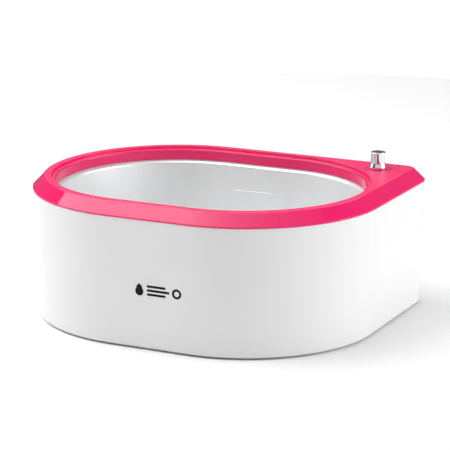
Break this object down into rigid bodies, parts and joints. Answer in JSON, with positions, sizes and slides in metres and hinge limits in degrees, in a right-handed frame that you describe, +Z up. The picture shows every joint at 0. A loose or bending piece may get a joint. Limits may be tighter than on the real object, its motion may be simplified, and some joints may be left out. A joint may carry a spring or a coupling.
{
  "type": "wax warmer pot",
  "caption": "Wax warmer with an open oval aluminium tank in a white body, a flush pink bezel with one squared corner, and a turning dial on that corner.",
  "frame": {"origin": "middle of the body's outline on the surface it stands on", "axes": "+X along the body to the side with the dial, +Y to the rear, +Z up"},
  "size_m": [0.35, 0.277, 0.1541],
  "materials": {
    "white_shell": "glossy moulded white",
    "pink_bezel": "glossy moulded hot pink",
    "tank_aluminium": "satin drawn sheet",
    "base_plastic": "fine texture",
    "rubber": "matte",
    "seal_rubber": "matte silicone",
    "plated_steel": "zinc plated",
    "chrome": "polished",
    "heater_alloy": "mill finish",
    "heater_sheath": "oxidised",
    "insulation": "glass fibre felt",
    "shield_sheet": "bright sheet",
    "brass": "plain",
    "ceramic_tan": "moulded resin",
    "board_green": "solder mask",
    "nylon": "moulded nylon",
    "relay_blue": "moulded case",
    "block_green": "moulded block",
    "capacitor_sleeve": "shrink sleeve",
    "black_plastic": "moulded",
    "fuse_glass": "clear",
    "wire_brown": "insulated wire",
    "wire_white": "glass sleeve",
    "wire_red": "insulated wire",
    "phenolic": "paper laminate",
    "pointer_red": "filled groove",
    "lens_red": "tinted",
    "led_red": "diffused",
    "print_dark": "pad print",
    "print_black": "pad print"
  },
  "bodies": {
    "housing": {"outer_shell": "white_shell", "base_plate": "base_plastic", "rubber_feet": "rubber", "base_screws": "plated_steel", "top_bezel": "pink_bezel", "bezel_screws": "plated_steel", "wax_tank": "tank_aluminium", "tank_seal": "seal_rubber", "tank_clamps": "plated_steel", "clamp_screws": "plated_steel", "insulation_wrap": "insulation", "heater_plate": "heater_alloy", "heater_tube": "heater_sheath", "heater_terminals": "brass", "heater_straps": "plated_steel", "heater_studs": "plated_steel", "heater_nuts": "plated_steel", "heat_shield": "shield_sheet", "shield_screws": "plated_steel", "temperature_sensor": "ceramic_tan", "sensor_clip": "plated_steel", "thermal_cutout": "ceramic_tan", "cutout_screws": "plated_steel", "board_bracket": "plated_steel", "bracket_screws": "plated_steel", "control_board": "board_green", "board_spacers": "nylon", "board_screws": "plated_steel", "power_relay": "relay_blue", "terminal_block": "block_green", "supply_capacitor": "capacitor_sleeve", "controller_chip": "black_plastic", "board_fuse": "fuse_glass", "fuse_clips": "plated_steel", "power_inlet": "black_plastic", "inlet_pins": "brass", "inlet_screws": "plated_steel", "mains_wires": "wire_brown", "heater_wires": "wire_white", "dial_wires": "wire_red", "pot_case": "plated_steel", "pot_wafer": "phenolic", "pot_terminals": "brass", "pot_bush": "brass", "pot_washer": "plated_steel", "pot_nut": "plated_steel", "indicator_lens": "lens_red", "indicator_led": "led_red", "dial_scale": "print_dark", "front_emblem": "print_black"},
    "dial": {"pot_shaft": "heater_alloy", "pot_wiper": "brass", "control_knob": "chrome", "knob_pointer": "pointer_red", "knob_grub_screw": "black_plastic"}
  },
  "joints": [
    {"name": "dial_turn", "type": "hinge", "parent": "housing", "child": "dial", "pos_m": [0.13276, 0.10098, 0.1371], "axis": [0, 0, 1], "range_deg": [-300, 0]}
  ]
}
